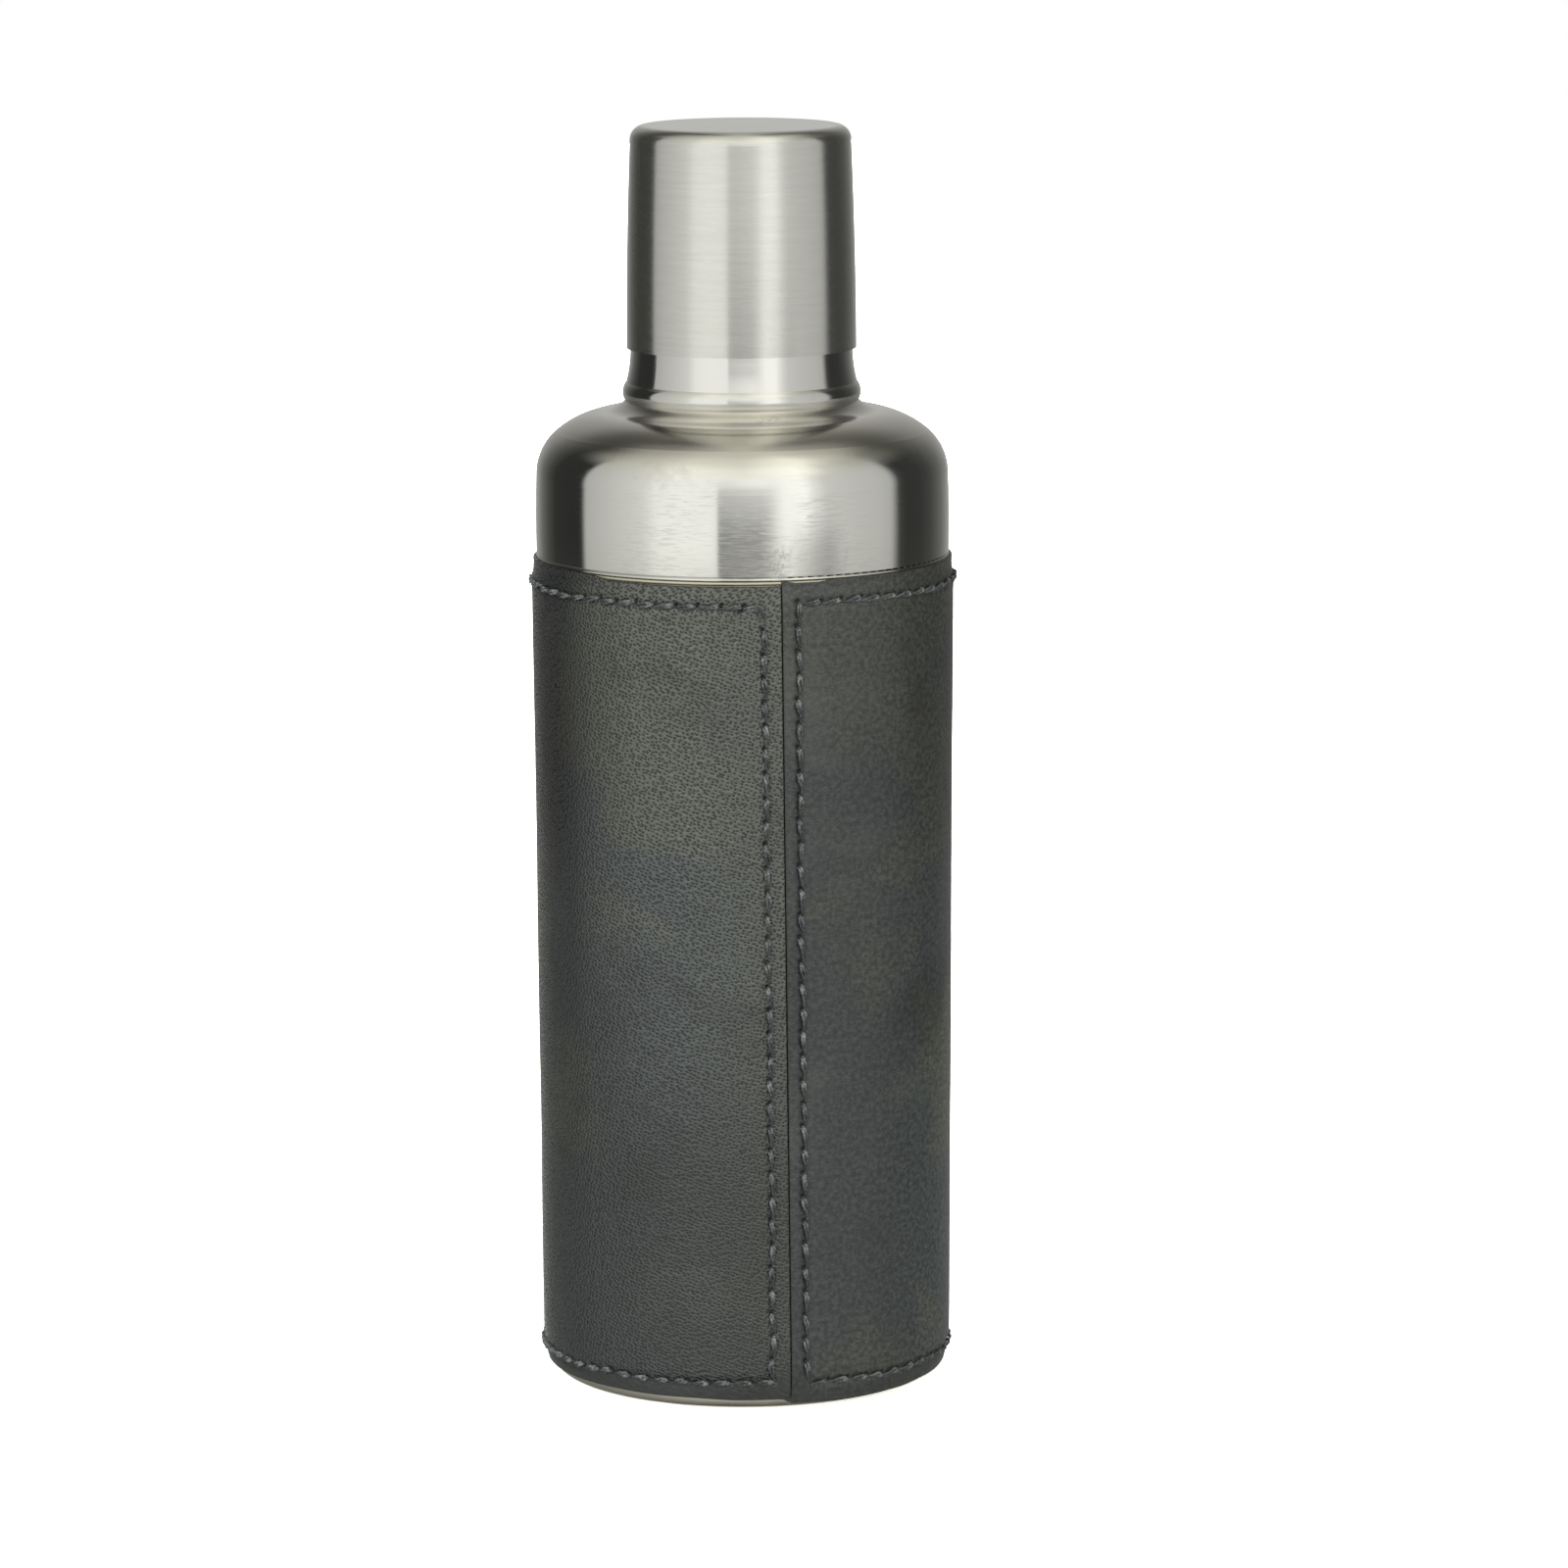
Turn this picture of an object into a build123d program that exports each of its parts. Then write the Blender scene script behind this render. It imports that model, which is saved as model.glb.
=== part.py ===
from build123d import *
from math import atan, cos, degrees, pi, radians, sin
import os

# Leather-sleeved shaker flask: a tapered steel beaker in a stitched leather sleeve, closed by a
# domed top with a collared neck and a strainer, under a slip-on measuring cap.
# Millimetres, +Z up, origin at the centre of the ring that the beaker stands on.
# The sleeve's butt seam faces -Y.

# ---- Driving dimensions -------------------------------------------------------------------------

# Steel beaker: a deep-drawn cup that widens upward and ends in a rolled rim
sheet = 0.7                      # wall of the beaker, the dome, the plug ring and the strainer
base_dish_height = 2.2           # middle of the base, raised off the table
base_dish_radius = 27.0
base_ring_inner = 30.5           # the flat ring that the beaker stands on
base_ring_outer = 33.9
foot_corner = 4.0                # rounding between that ring and the wall
rim_radius = 38.83               # outside of the wall at the rim
rim_top = 157.75
rim_bead = 0.4                   # radius of the rolled rim

# Leather sleeve over a thin lining
sleeve_thickness = 1.2           # leather and lining together
lining_thickness = 0.3
lining_margin = 2.2              # the leather runs past the lining by this much
sleeve_bottom = 2.3
sleeve_top = 156.9
bottom_roll = 6.7                # height over which the lower edge tucks in under the belly
bottom_tuck = 0.95
top_roll = 5.0                   # height over which the upper edge leans in
top_tuck = 0.55
seam_gap = 0.3
seam_drift = -1.42               # sideways run of the seam from its lower to its upper end

# Hand stitches: one row along each hem and one on each side of the seam
thread = 1.0
stitch_height = 0.65             # how far the thread stands above the leather
stitch_length = 3.5
stitch_slant = 7.0               # degrees off the line of the row
bottom_row = 5.4
top_row = 153.4
seam_row_offset = 3.2
hem_stitches = 58
seam_stitches = 33

# Domed top: upright side, round shoulder, low crown and a short sweep up to the neck
dome_foot_radius = 39.15
dome_foot = 158.1
dome_foot_rounding = 0.5
dome_flare = 0.022               # outward lean of the side at the foot
dome_side_end = (39.05, 173.8)
dome_shoulder_end = (35.23, 181.5)
dome_crown_end = (25.86, 185.4)
neck_seat = (22.1, 187.3)        # edge of the flat that the collar stands on
dome_hem = 3.6                   # height of the folded band inside the dome's lower edge
lip_height = 3.2                 # upstand of the dome inside the collar

# Plug ring: the part of the top that slides into the beaker's mouth
mouth_play = 0.23                # between the plug and the beaker's wall
plug_depth = 14.0
plug_lead_in = (0.6, 1.7)        # how much the lower end turns in, and over what height
plug_seat_play = 0.05            # between the plug's seat and the rolled rim

# Neck collar: a bead, a hollow flare and a slightly tapered spigot
collar_bore = 20.3               # over the dome's lip
bead_middle = (22.56, 189.05)
bead_end = (21.85, 190.9)
flare_middle = (21.36, 193.2)
flare_end = (21.05, 196.4)
neck_top = 228.6
neck_top_radius = 20.3
neck_top_rounding = 0.6

# Strainer: a drilled cup pressed into the top of the neck
strainer_radius = 19.5
strainer_height = 4.0
strainer_recess = 0.3            # below the neck's top edge
strainer_ledge = 0.35            # width of the ledge that it stands on
strainer_rounding = 0.9
drain_radius = 1.2
drain_rings = ((4.2, 6), (8.4, 12), (12.6, 18))    # radius of each ring, and its holes

# Cap: a small flat-topped cup, upside down over the neck
cap_sheet = 0.6
cap_top = 239.2
cap_flat_radius = 18.17
cap_corner_end = (20.87, 236.62)
cap_belly = (21.5, 217.0)
cap_foot = (21.75, 197.3)
cap_rim_rounding = 0.2


# ---- Shared geometry ----------------------------------------------------------------------------

foot_wall_radius = base_ring_outer + foot_corner
wall_taper = (rim_radius - foot_wall_radius) / (rim_top - rim_bead - foot_corner)
plug_radius = rim_radius - sheet - mouth_play
strainer_seat = neck_top - strainer_recess - strainer_height
lip_top = neck_seat[1] + lip_height


def wall_radius(z):
    """Outside radius of the beaker's tapered wall."""
    return foot_wall_radius + wall_taper * (z - foot_corner)


def sleeve_radius(z):
    """Outside radius of the leather, which tucks in at the foot and leans in at the rim."""
    low = max(0, sleeve_bottom + bottom_roll - z) / bottom_roll
    high = max(0, z - sleeve_top + top_roll) / top_roll
    return wall_radius(z) + sleeve_thickness - bottom_tuck * low**2 - top_tuck * high**2


def seam_position(z):
    """How far the seam stands from the front line at a height, measured round the leather."""
    return seam_drift * ((z - sleeve_bottom) / (sleeve_top - sleeve_bottom) - 0.5)


def stitch_place(along, z, turn):
    """Where a stitch lies: `along` mm round from the front line, `turn` degrees off level."""
    radius = sleeve_radius(z)
    angle = along / radius - pi / 2
    rise = radians(turn)
    centre_radius = radius + stitch_height - thread / 2
    return Plane(
        origin=(centre_radius * cos(angle), centre_radius * sin(angle), z),
        x_dir=(-sin(angle) * cos(rise), cos(angle) * cos(rise), sin(rise)),
        z_dir=(cos(angle), sin(angle), 0),
    )


def hem_row(z):
    """Places of the stitches in a row that runs round a hem from one side of the seam."""
    run = 2 * pi * sleeve_radius(z) - 2 * seam_row_offset
    first = seam_position(z) + seam_row_offset
    steps = [(index + 0.5) / hem_stitches for index in range(hem_stitches)]
    return [stitch_place(first + run * step, z, stitch_slant) for step in steps]


def seam_row(side):
    """Places of the stitches in the row beside the seam: side is -1 or +1."""
    steps = [(index + 0.5) / seam_stitches for index in range(seam_stitches)]
    heights = [bottom_row + (top_row - bottom_row) * step for step in steps]
    along = side * seam_row_offset
    return [stitch_place(seam_position(z) + along, z, 90 - stitch_slant) for z in heights]


# ---- Beaker -------------------------------------------------------------------------------------

with BuildPart() as beaker:
    with BuildSketch(Plane.XZ):
        with BuildLine():
            dish = Line((0, base_dish_height), (base_dish_radius, base_dish_height))
            slope = Line(dish @ 1, (base_ring_inner, 0))
            ring = Line(slope @ 1, (base_ring_outer, 0))
            corner = TangentArc(ring @ 1, (foot_wall_radius, foot_corner), tangent=(1, 0))
            Line(corner @ 1, (rim_radius, rim_top - rim_bead))
            offset(amount=sheet, side=Side.LEFT)
        make_face()
        with Locations((rim_radius - rim_bead / 5, rim_top - rim_bead)):
            Circle(rim_bead)
    revolve(axis=Axis.Z)
beaker.part.label = "beaker"


# ---- Leather sleeve and its lining --------------------------------------------------------------

lining_bottom = sleeve_bottom + lining_margin
lining_top = sleeve_top - lining_margin / 2

with BuildPart() as sleeve_lining:
    with BuildSketch(Plane.XZ):
        with BuildLine():
            Line((wall_radius(lining_bottom), lining_bottom), (wall_radius(lining_top), lining_top))
            offset(amount=lining_thickness, side=Side.RIGHT)
        make_face()
    revolve(axis=Axis.Z)
sleeve_lining.part.label = "sleeve_lining"

# The whole space inside the leather's outer surface, which trims whatever lies on the leather
with BuildPart() as sleeve_envelope:
    with BuildSketch(Plane.XZ):
        with BuildLine():
            roll_top = sleeve_bottom + bottom_roll
            lean_foot = sleeve_top - top_roll
            foot = (sleeve_radius(sleeve_bottom), sleeve_bottom)
            head = (sleeve_radius(sleeve_top), sleeve_top)
            side = Line((sleeve_radius(roll_top), roll_top), (sleeve_radius(lean_foot), lean_foot))
            TangentArc(side @ 0, foot, tangent=-(side % 0))
            TangentArc(side @ 1, head, tangent=side % 1)
            Polyline(foot, (0, sleeve_bottom), (0, sleeve_top), head)
        make_face()
    revolve(axis=Axis.Z)

# The space inside the leather: the beaker's outer surface, with the lining
with BuildPart() as sleeve_hollow:
    with BuildSketch(Plane.XZ):
        with BuildLine():
            corner = TangentArc((base_ring_outer, 0), (foot_wall_radius, foot_corner), tangent=(1, 0))
            wall = Line(corner @ 1, (wall_radius(rim_top), rim_top))
            Polyline(wall @ 1, (0, rim_top), (0, 0), corner @ 0)
        make_face()
    revolve(axis=Axis.Z)
    add(sleeve_lining.part)

with BuildPart() as leather_sleeve:
    add(sleeve_envelope.part)
    add(sleeve_hollow.part, mode=Mode.SUBTRACT)
    seam_middle = (0, -rim_radius, (sleeve_top + sleeve_bottom) / 2)
    seam_lean = degrees(atan(seam_drift / (sleeve_top - sleeve_bottom)))
    with Locations(Location(seam_middle, (0, seam_lean, 0))):
        Box(seam_gap, 4 * sleeve_thickness, 2 * sleeve_top, mode=Mode.SUBTRACT)
leather_sleeve.part.label = "leather_sleeve"


# ---- Stitches -----------------------------------------------------------------------------------

# A short length of thread with rounded ends, lying along X
with BuildPart() as one_stitch:
    with BuildSketch():
        SlotOverall(stitch_length, thread)
        split(bisect_by=Plane.XZ)
    revolve(axis=Axis.X)


def stitched(label, places):
    """A row of stitches, each half sunk in the leather."""
    with BuildPart() as row:
        with Locations(*places):
            add(one_stitch.part)
    row.part.label = label
    return row.part


top_hem_stitches = stitched("top_hem_stitches", hem_row(top_row))
bottom_hem_stitches = stitched("bottom_hem_stitches", hem_row(bottom_row))
left_seam_stitches = stitched("left_seam_stitches", seam_row(-1))
right_seam_stitches = stitched("right_seam_stitches", seam_row(1))


# ---- Domed top ----------------------------------------------------------------------------------

with BuildPart() as dome:
    with BuildSketch(Plane.XZ):
        with BuildLine():
            fold = (dome_foot_radius - dome_foot_rounding, dome_foot)
            side_foot = (dome_foot_radius, dome_foot + dome_foot_rounding)
            TangentArc(fold, side_foot, tangent=(1, 0))
            side = TangentArc(side_foot, dome_side_end, tangent=(dome_flare, 1))
            shoulder = TangentArc(side @ 1, dome_shoulder_end, tangent=side % 1)
            crown = TangentArc(shoulder @ 1, dome_crown_end, tangent=shoulder % 1)
            sweep = TangentArc(crown @ 1, neck_seat, tangent=crown % 1)
            Polyline(neck_seat, (collar_bore, neck_seat[1]), (collar_bore, lip_top))
            offset(amount=sheet, side=Side.LEFT)
        make_face()
        with Locations((plug_radius, dome_foot)):
            Rectangle(fold[0] - plug_radius, dome_hem, align=Align.MIN)
    revolve(axis=Axis.Z)
dome.part.label = "dome"

with BuildPart() as plug_ring:
    plug_foot = rim_top - plug_depth
    seat_bottom = rim_top + plug_seat_play
    turn_in, turn_height = plug_lead_in
    low_radius = wall_radius(plug_foot) - sheet - mouth_play
    with BuildSketch(Plane.XZ):
        with BuildLine():
            upright = Line((plug_radius, dome_foot + dome_hem), (plug_radius, seat_bottom))
            body = Line(upright @ 1, (low_radius, plug_foot + turn_height))
            TangentArc(body @ 1, (low_radius - turn_in, plug_foot), tangent=body % 1)
            offset(amount=sheet, side=Side.RIGHT)
        make_face()
        with Locations((plug_radius - sheet / 2, seat_bottom)):
            Rectangle(rim_radius - plug_radius, dome_foot - seat_bottom, align=Align.MIN)
    revolve(axis=Axis.Z)
plug_ring.part.label = "plug_ring"

with BuildPart() as neck_collar:
    with BuildSketch(Plane.XZ):
        with BuildLine():
            bead = ThreePointArc(neck_seat, bead_middle, bead_end)
            flare = ThreePointArc(bead @ 1, flare_middle, flare_end)
            spigot = Line(flare @ 1, (neck_top_radius, neck_top - neck_top_rounding))
            rounding_end = (neck_top_radius - neck_top_rounding, neck_top)
            rounding = TangentArc(spigot @ 1, rounding_end, tangent=spigot % 1)
            Polyline(
                rounding @ 1,
                (strainer_radius, neck_top),
                (strainer_radius, strainer_seat),
                (strainer_radius - strainer_ledge, strainer_seat),
                (collar_bore, lip_top),
                (collar_bore, neck_seat[1]),
                neck_seat,
            )
        make_face()
    revolve(axis=Axis.Z)
neck_collar.part.label = "neck_collar"

with BuildPart() as strainer:
    plate_top = neck_top - strainer_recess
    with BuildSketch(Plane.XZ):
        with BuildLine():
            skirt = Line((strainer_radius, strainer_seat), (strainer_radius, plate_top - strainer_rounding))
            plate_edge = (strainer_radius - strainer_rounding, plate_top)
            TangentArc(skirt @ 1, plate_edge, tangent=(0, 1))
            Line(plate_edge, (0, plate_top))
            offset(amount=sheet, side=Side.LEFT)
        make_face()
    revolve(axis=Axis.Z)
    with Locations((0, 0, plate_top)):
        Hole(drain_radius, depth=2 * sheet)
        for ring_radius, holes in drain_rings:
            with PolarLocations(ring_radius, holes):
                Hole(drain_radius, depth=2 * sheet)
strainer.part.label = "strainer"


# ---- Cap ----------------------------------------------------------------------------------------

with BuildPart() as cap:
    with BuildSketch(Plane.XZ) as cap_section:
        with BuildLine():
            flat = Line((0, cap_top), (cap_flat_radius, cap_top))
            corner = TangentArc(flat @ 1, cap_corner_end, tangent=(1, 0))
            ThreePointArc(corner @ 1, cap_belly, cap_foot)
            offset(amount=cap_sheet, side=Side.RIGHT)
        make_face()
        fillet(cap_section.vertices().group_by(Axis.Y)[0], cap_rim_rounding)
    revolve(axis=Axis.Z)
cap.part.label = "cap"


# ---- Files --------------------------------------------------------------------------------------

os.makedirs("parts", exist_ok=True)
export_step(beaker.part, "parts/beaker.step")
export_step(sleeve_lining.part, "parts/sleeve_lining.step")
export_step(leather_sleeve.part, "parts/leather_sleeve.step")
export_step(top_hem_stitches, "parts/top_hem_stitches.step")
export_step(bottom_hem_stitches, "parts/bottom_hem_stitches.step")
export_step(left_seam_stitches, "parts/left_seam_stitches.step")
export_step(right_seam_stitches, "parts/right_seam_stitches.step")
export_step(dome.part, "parts/dome.step")
export_step(plug_ring.part, "parts/plug_ring.step")
export_step(neck_collar.part, "parts/neck_collar.step")
export_step(strainer.part, "parts/strainer.step")
export_step(cap.part, "parts/cap.step")
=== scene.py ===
"""Looks of the leather-sleeved shaker flask: steel, stitched leather and a plain light studio."""

import math
import random
from collections import namedtuple

import bmesh
import bpy
from mathutils import Matrix, Vector, noise


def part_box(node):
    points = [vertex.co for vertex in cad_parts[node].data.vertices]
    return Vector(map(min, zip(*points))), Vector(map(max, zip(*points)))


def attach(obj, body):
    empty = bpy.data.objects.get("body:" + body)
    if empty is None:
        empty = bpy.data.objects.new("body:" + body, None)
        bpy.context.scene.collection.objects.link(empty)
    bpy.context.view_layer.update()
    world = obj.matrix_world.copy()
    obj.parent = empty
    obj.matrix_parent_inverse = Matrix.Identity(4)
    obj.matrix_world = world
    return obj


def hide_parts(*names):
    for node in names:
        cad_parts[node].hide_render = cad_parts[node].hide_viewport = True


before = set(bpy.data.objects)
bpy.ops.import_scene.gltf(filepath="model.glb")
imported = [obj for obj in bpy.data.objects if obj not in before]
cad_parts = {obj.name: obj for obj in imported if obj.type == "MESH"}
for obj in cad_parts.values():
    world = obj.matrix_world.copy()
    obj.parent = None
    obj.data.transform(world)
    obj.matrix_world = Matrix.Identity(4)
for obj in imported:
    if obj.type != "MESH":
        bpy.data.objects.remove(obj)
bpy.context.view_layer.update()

MM = 0.001
TOP_BODY = "top_body"
SEED = 7

# ---- Sizes, in millimetres, worked out from the frame where it has them ---------------------------

sleeve_low, sleeve_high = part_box("leather_sleeve")
lining_low, lining_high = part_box("sleeve_lining")

SLEEVE_BOTTOM = sleeve_low.z / MM
SLEEVE_TOP = sleeve_high.z / MM
LINING_BOTTOM = lining_low.z / MM
LINING_TOP = lining_high.z / MM
LINING = 0.3                                # thickness of the lining
WALL_TOP = lining_high.x / MM - LINING      # the beaker's radius at the top of the lining
WALL_TAPER = 0.00606                        # growth of the beaker's radius per mm of height
SLEEVE = 1.2                                # leather and lining together
BOTTOM_ROLL, BOTTOM_TUCK = 6.7, 0.95        # how the lower edge tucks in
TOP_ROLL, TOP_TUCK = 5.0, 0.55              # how the upper edge leans in
SEAM_DRIFT = -1.42                          # sideways run of the seam, bottom to top
SEAM_GAP = 0.08
# How far the hand-cut edges stand above the sleeve's mean ends, by share of the way round from the
# seam. The upper one dips to the left of the seam, and leaves the beaker's rim bare there; the lower
# one hangs deeper to the right of it.
TOP_EDGE = [(0, 0.85), (0.012, 0.55), (0.027, 0.55), (0.045, 0.95), (0.1, 1.05), (0.2, 1.1), (0.5, 0.6),
            (0.8, 1.05), (0.84, 0.95), (0.873, 0.05), (0.95, -0.02), (1, -0.05)]
BOTTOM_EDGE = [(0, -1.0), (0.05, -1.2), (0.1, -1.0), (0.14, -0.7), (0.3, -0.3), (0.5, 0), (0.85, 0.1),
               (0.92, 0.05), (0.96, -0.15), (0.993, -0.15), (1, -0.75)]
CUT_EDGE = 0.24                             # rounding of the cut edges

TOP_ROW, BOTTOM_ROW = 153.4, 5.4            # heights of the hem rows
ROW_TILT = 0.3                              # each runs outward to the seam's right side by twice this
ROW_FROM_SEAM = 3.2                         # of the rows beside it, and of the hem rows' ends
HEM_STITCHES = 58
SEAM_STITCHES = 33


def smooth(low, high, value):
    """A smooth step, from 0 at low to 1 at high."""
    t = min(1.0, max(0.0, (value - low) / (high - low)))
    return t * t * (3 - 2 * t)


def wall_radius(z):
    """Outside of the tapered steel beaker."""
    return WALL_TOP - WALL_TAPER * (LINING_TOP - z)


def sleeve_radius(z):
    """Outside of the leather before any relief."""
    low = max(0.0, SLEEVE_BOTTOM + BOTTOM_ROLL - z) / BOTTOM_ROLL
    high = min(1.0, max(0.0, z - SLEEVE_TOP + TOP_ROLL) / TOP_ROLL)
    return wall_radius(z) + SLEEVE - BOTTOM_TUCK * low**2 - TOP_TUCK * high**2


def seam_position(z):
    """Sideways place of the seam, measured round the leather from the front line."""
    return SEAM_DRIFT * ((z - SLEEVE_BOTTOM) / (SLEEVE_TOP - SLEEVE_BOTTOM) - 0.5)


def along_line(line, share):
    """A smooth line through (share, height) points."""
    for (start, low), (end, high) in zip(line[:-1], line[1:]):
        if start <= share <= end:
            return low + (high - low) * smooth(start, end, share)
    return line[-1][1]


def sleeve_edges(share):
    """Heights of the lower and upper edges, at a share of the way round from the seam's right side."""
    lower = SLEEVE_BOTTOM + along_line(BOTTOM_EDGE, share)
    lower += 0.07 * noise.noise(Vector((share * 23, 1.7, 0)))
    upper = SLEEVE_TOP + along_line(TOP_EDGE, share)
    upper += 0.08 * noise.noise(Vector((share * 31, 9.1, 0)))
    return lower, upper


def around(share, z):
    """Distance round the leather from the front line, at a share of the way round."""
    run = 2 * math.pi * sleeve_radius(z) - SEAM_GAP
    return seam_position(z) + SEAM_GAP / 2 + share * run


def leather_point(along, z, lift=0.0):
    """A point `along` mm round from the front line, `lift` mm off the leather."""
    radius = sleeve_radius(z)
    angle = along / radius - math.pi / 2
    reach = (radius + lift) * MM
    return Vector((reach * math.cos(angle), reach * math.sin(angle), z * MM))


# ---- Material helpers ---------------------------------------------------------------------------


class Nodes:
    """Builds a node tree with short calls: each returns the output socket of a new node."""

    def __init__(self, tree):
        self.tree = tree
        tree.nodes.clear()

    def node(self, kind, inputs=None, **settings):
        made = self.tree.nodes.new(kind)
        for key, value in settings.items():
            setattr(made, key, value)
        for key, value in (inputs or {}).items():
            if isinstance(value, bpy.types.NodeSocket):
                self.tree.links.new(value, made.inputs[key])
            else:
                made.inputs[key].default_value = value
        return made

    def math(self, operation, a, b=0.0, c=0.0):
        return self.node("ShaderNodeMath", {0: a, 1: b, 2: c}, operation=operation).outputs[0]

    def vector(self, operation, a, b=(0, 0, 0)):
        made = self.node("ShaderNodeVectorMath", {0: a, 1: b}, operation=operation)
        return made.outputs["Value" if operation in ("LENGTH", "DOT_PRODUCT") else "Vector"]

    def scale(self, a, factor):
        return self.node("ShaderNodeVectorMath", {0: a, 3: factor}, operation="SCALE").outputs[0]

    def split(self, a):
        return self.node("ShaderNodeSeparateXYZ", {0: a}).outputs

    def join(self, x, y, z):
        return self.node("ShaderNodeCombineXYZ", {0: x, 1: y, 2: z}).outputs[0]

    def step(self, value, low, high, out_low=0.0, out_high=1.0):
        """A smooth step of value from low to high."""
        made = self.node(
            "ShaderNodeMapRange",
            {"Value": value, "From Min": low, "From Max": high, "To Min": out_low, "To Max": out_high},
            interpolation_type="SMOOTHSTEP",
        )
        return made.outputs[0]

    def noise(self, vector, scale, detail=2.0, roughness=0.5, distortion=0.0):
        made = self.node(
            "ShaderNodeTexNoise",
            {"Vector": vector, "Scale": scale, "Detail": detail, "Roughness": roughness,
             "Distortion": distortion},
        )
        return made.outputs["Fac"]

    def dots(self, vector, scale, randomness):
        """Distance to the nearest of many dots scattered over a plane."""
        made = self.node(
            "ShaderNodeTexVoronoi",
            {"Vector": vector, "Scale": scale, "Randomness": randomness},
            voronoi_dimensions="2D",
        )
        return made.outputs["Distance"]

    def mix(self, factor, a, b):
        """Mix of two colours."""
        return self.node("ShaderNodeMix", {0: factor, 6: a, 7: b}, data_type="RGBA").outputs[2]

    def blend(self, factor, a, b):
        """Mix of two numbers."""
        return self.node("ShaderNodeMix", {0: factor, 2: a, 3: b}, data_type="FLOAT").outputs[0]

    def profile(self, value, points):
        """A line through (value, level) points; the levels stay under 2."""
        low, high = points[0][0], points[-1][0]
        share = self.math("DIVIDE", self.math("SUBTRACT", value, low), high - low)
        made = self.node("ShaderNodeValToRGB", {"Fac": self.math("MAXIMUM", share, 0.0)})
        ramp = made.color_ramp
        while len(ramp.elements) < len(points):
            ramp.elements.new(0.5)
        for element, (place, level) in zip(ramp.elements, points):
            element.position = (place - low) / (high - low)
            element.color = (level / 2, level / 2, level / 2, 1)
        return self.math("MULTIPLY", made.outputs["Color"], 2.0)

    def bump(self, height, distance, strength=1.0):
        inputs = {"Height": height, "Distance": distance, "Strength": strength}
        return self.node("ShaderNodeBump", inputs).outputs[0]

    def surface(self, kind, inputs):
        """Ends the tree in a surface shader."""
        shader = self.node(kind, inputs)
        out = self.node("ShaderNodeOutputMaterial")
        self.tree.links.new(shader.outputs[0], out.inputs[0])


def material(name):
    made = bpy.data.materials.new(name)
    made.use_nodes = True
    return made, Nodes(made.node_tree)


def show(name, data):
    """An object made from a mesh or camera, in the scene."""
    made = bpy.data.objects.new(name, data)
    bpy.context.scene.collection.objects.link(made)
    return made


# ---- Camera -------------------------------------------------------------------------------------

CAMERA_AZIMUTH = -11.37       # degrees round from the front, so that the seam stands right of centre
CAMERA_DISTANCE = 1.3869
CAMERA_HEIGHT = 0.3432
CAMERA_DOWN = 9.406           # degrees below level
CAMERA_RIGHT = 0.3167         # degrees that it looks to the right of the object's axis
CAMERA_ROLL = -0.2466
CAMERA_LENS = 169.09


def make_camera():
    data = bpy.data.cameras.new("camera")
    data.lens = CAMERA_LENS
    data.sensor_width = 36
    data.clip_start, data.clip_end = 0.05, 50
    camera = show("camera", data)
    down, right, roll = (math.radians(a) for a in (CAMERA_DOWN, CAMERA_RIGHT, CAMERA_ROLL))
    ahead = Vector((math.sin(right) * math.cos(down), math.cos(right) * math.cos(down), -math.sin(down)))
    level = Vector((math.cos(right), -math.sin(right), 0))
    upward = level.cross(ahead)
    across = math.cos(roll) * level + math.sin(roll) * upward
    upward = math.cos(roll) * upward - math.sin(roll) * level
    turn = Matrix.Rotation(math.radians(CAMERA_AZIMUTH), 4, "Z")
    pose = Matrix.Translation((0, -CAMERA_DISTANCE, CAMERA_HEIGHT))
    pose = pose @ Matrix((across, upward, -ahead)).transposed().to_4x4()
    camera.matrix_world = turn @ pose
    bpy.context.scene.camera = camera


# ---- Studio -------------------------------------------------------------------------------------

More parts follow.
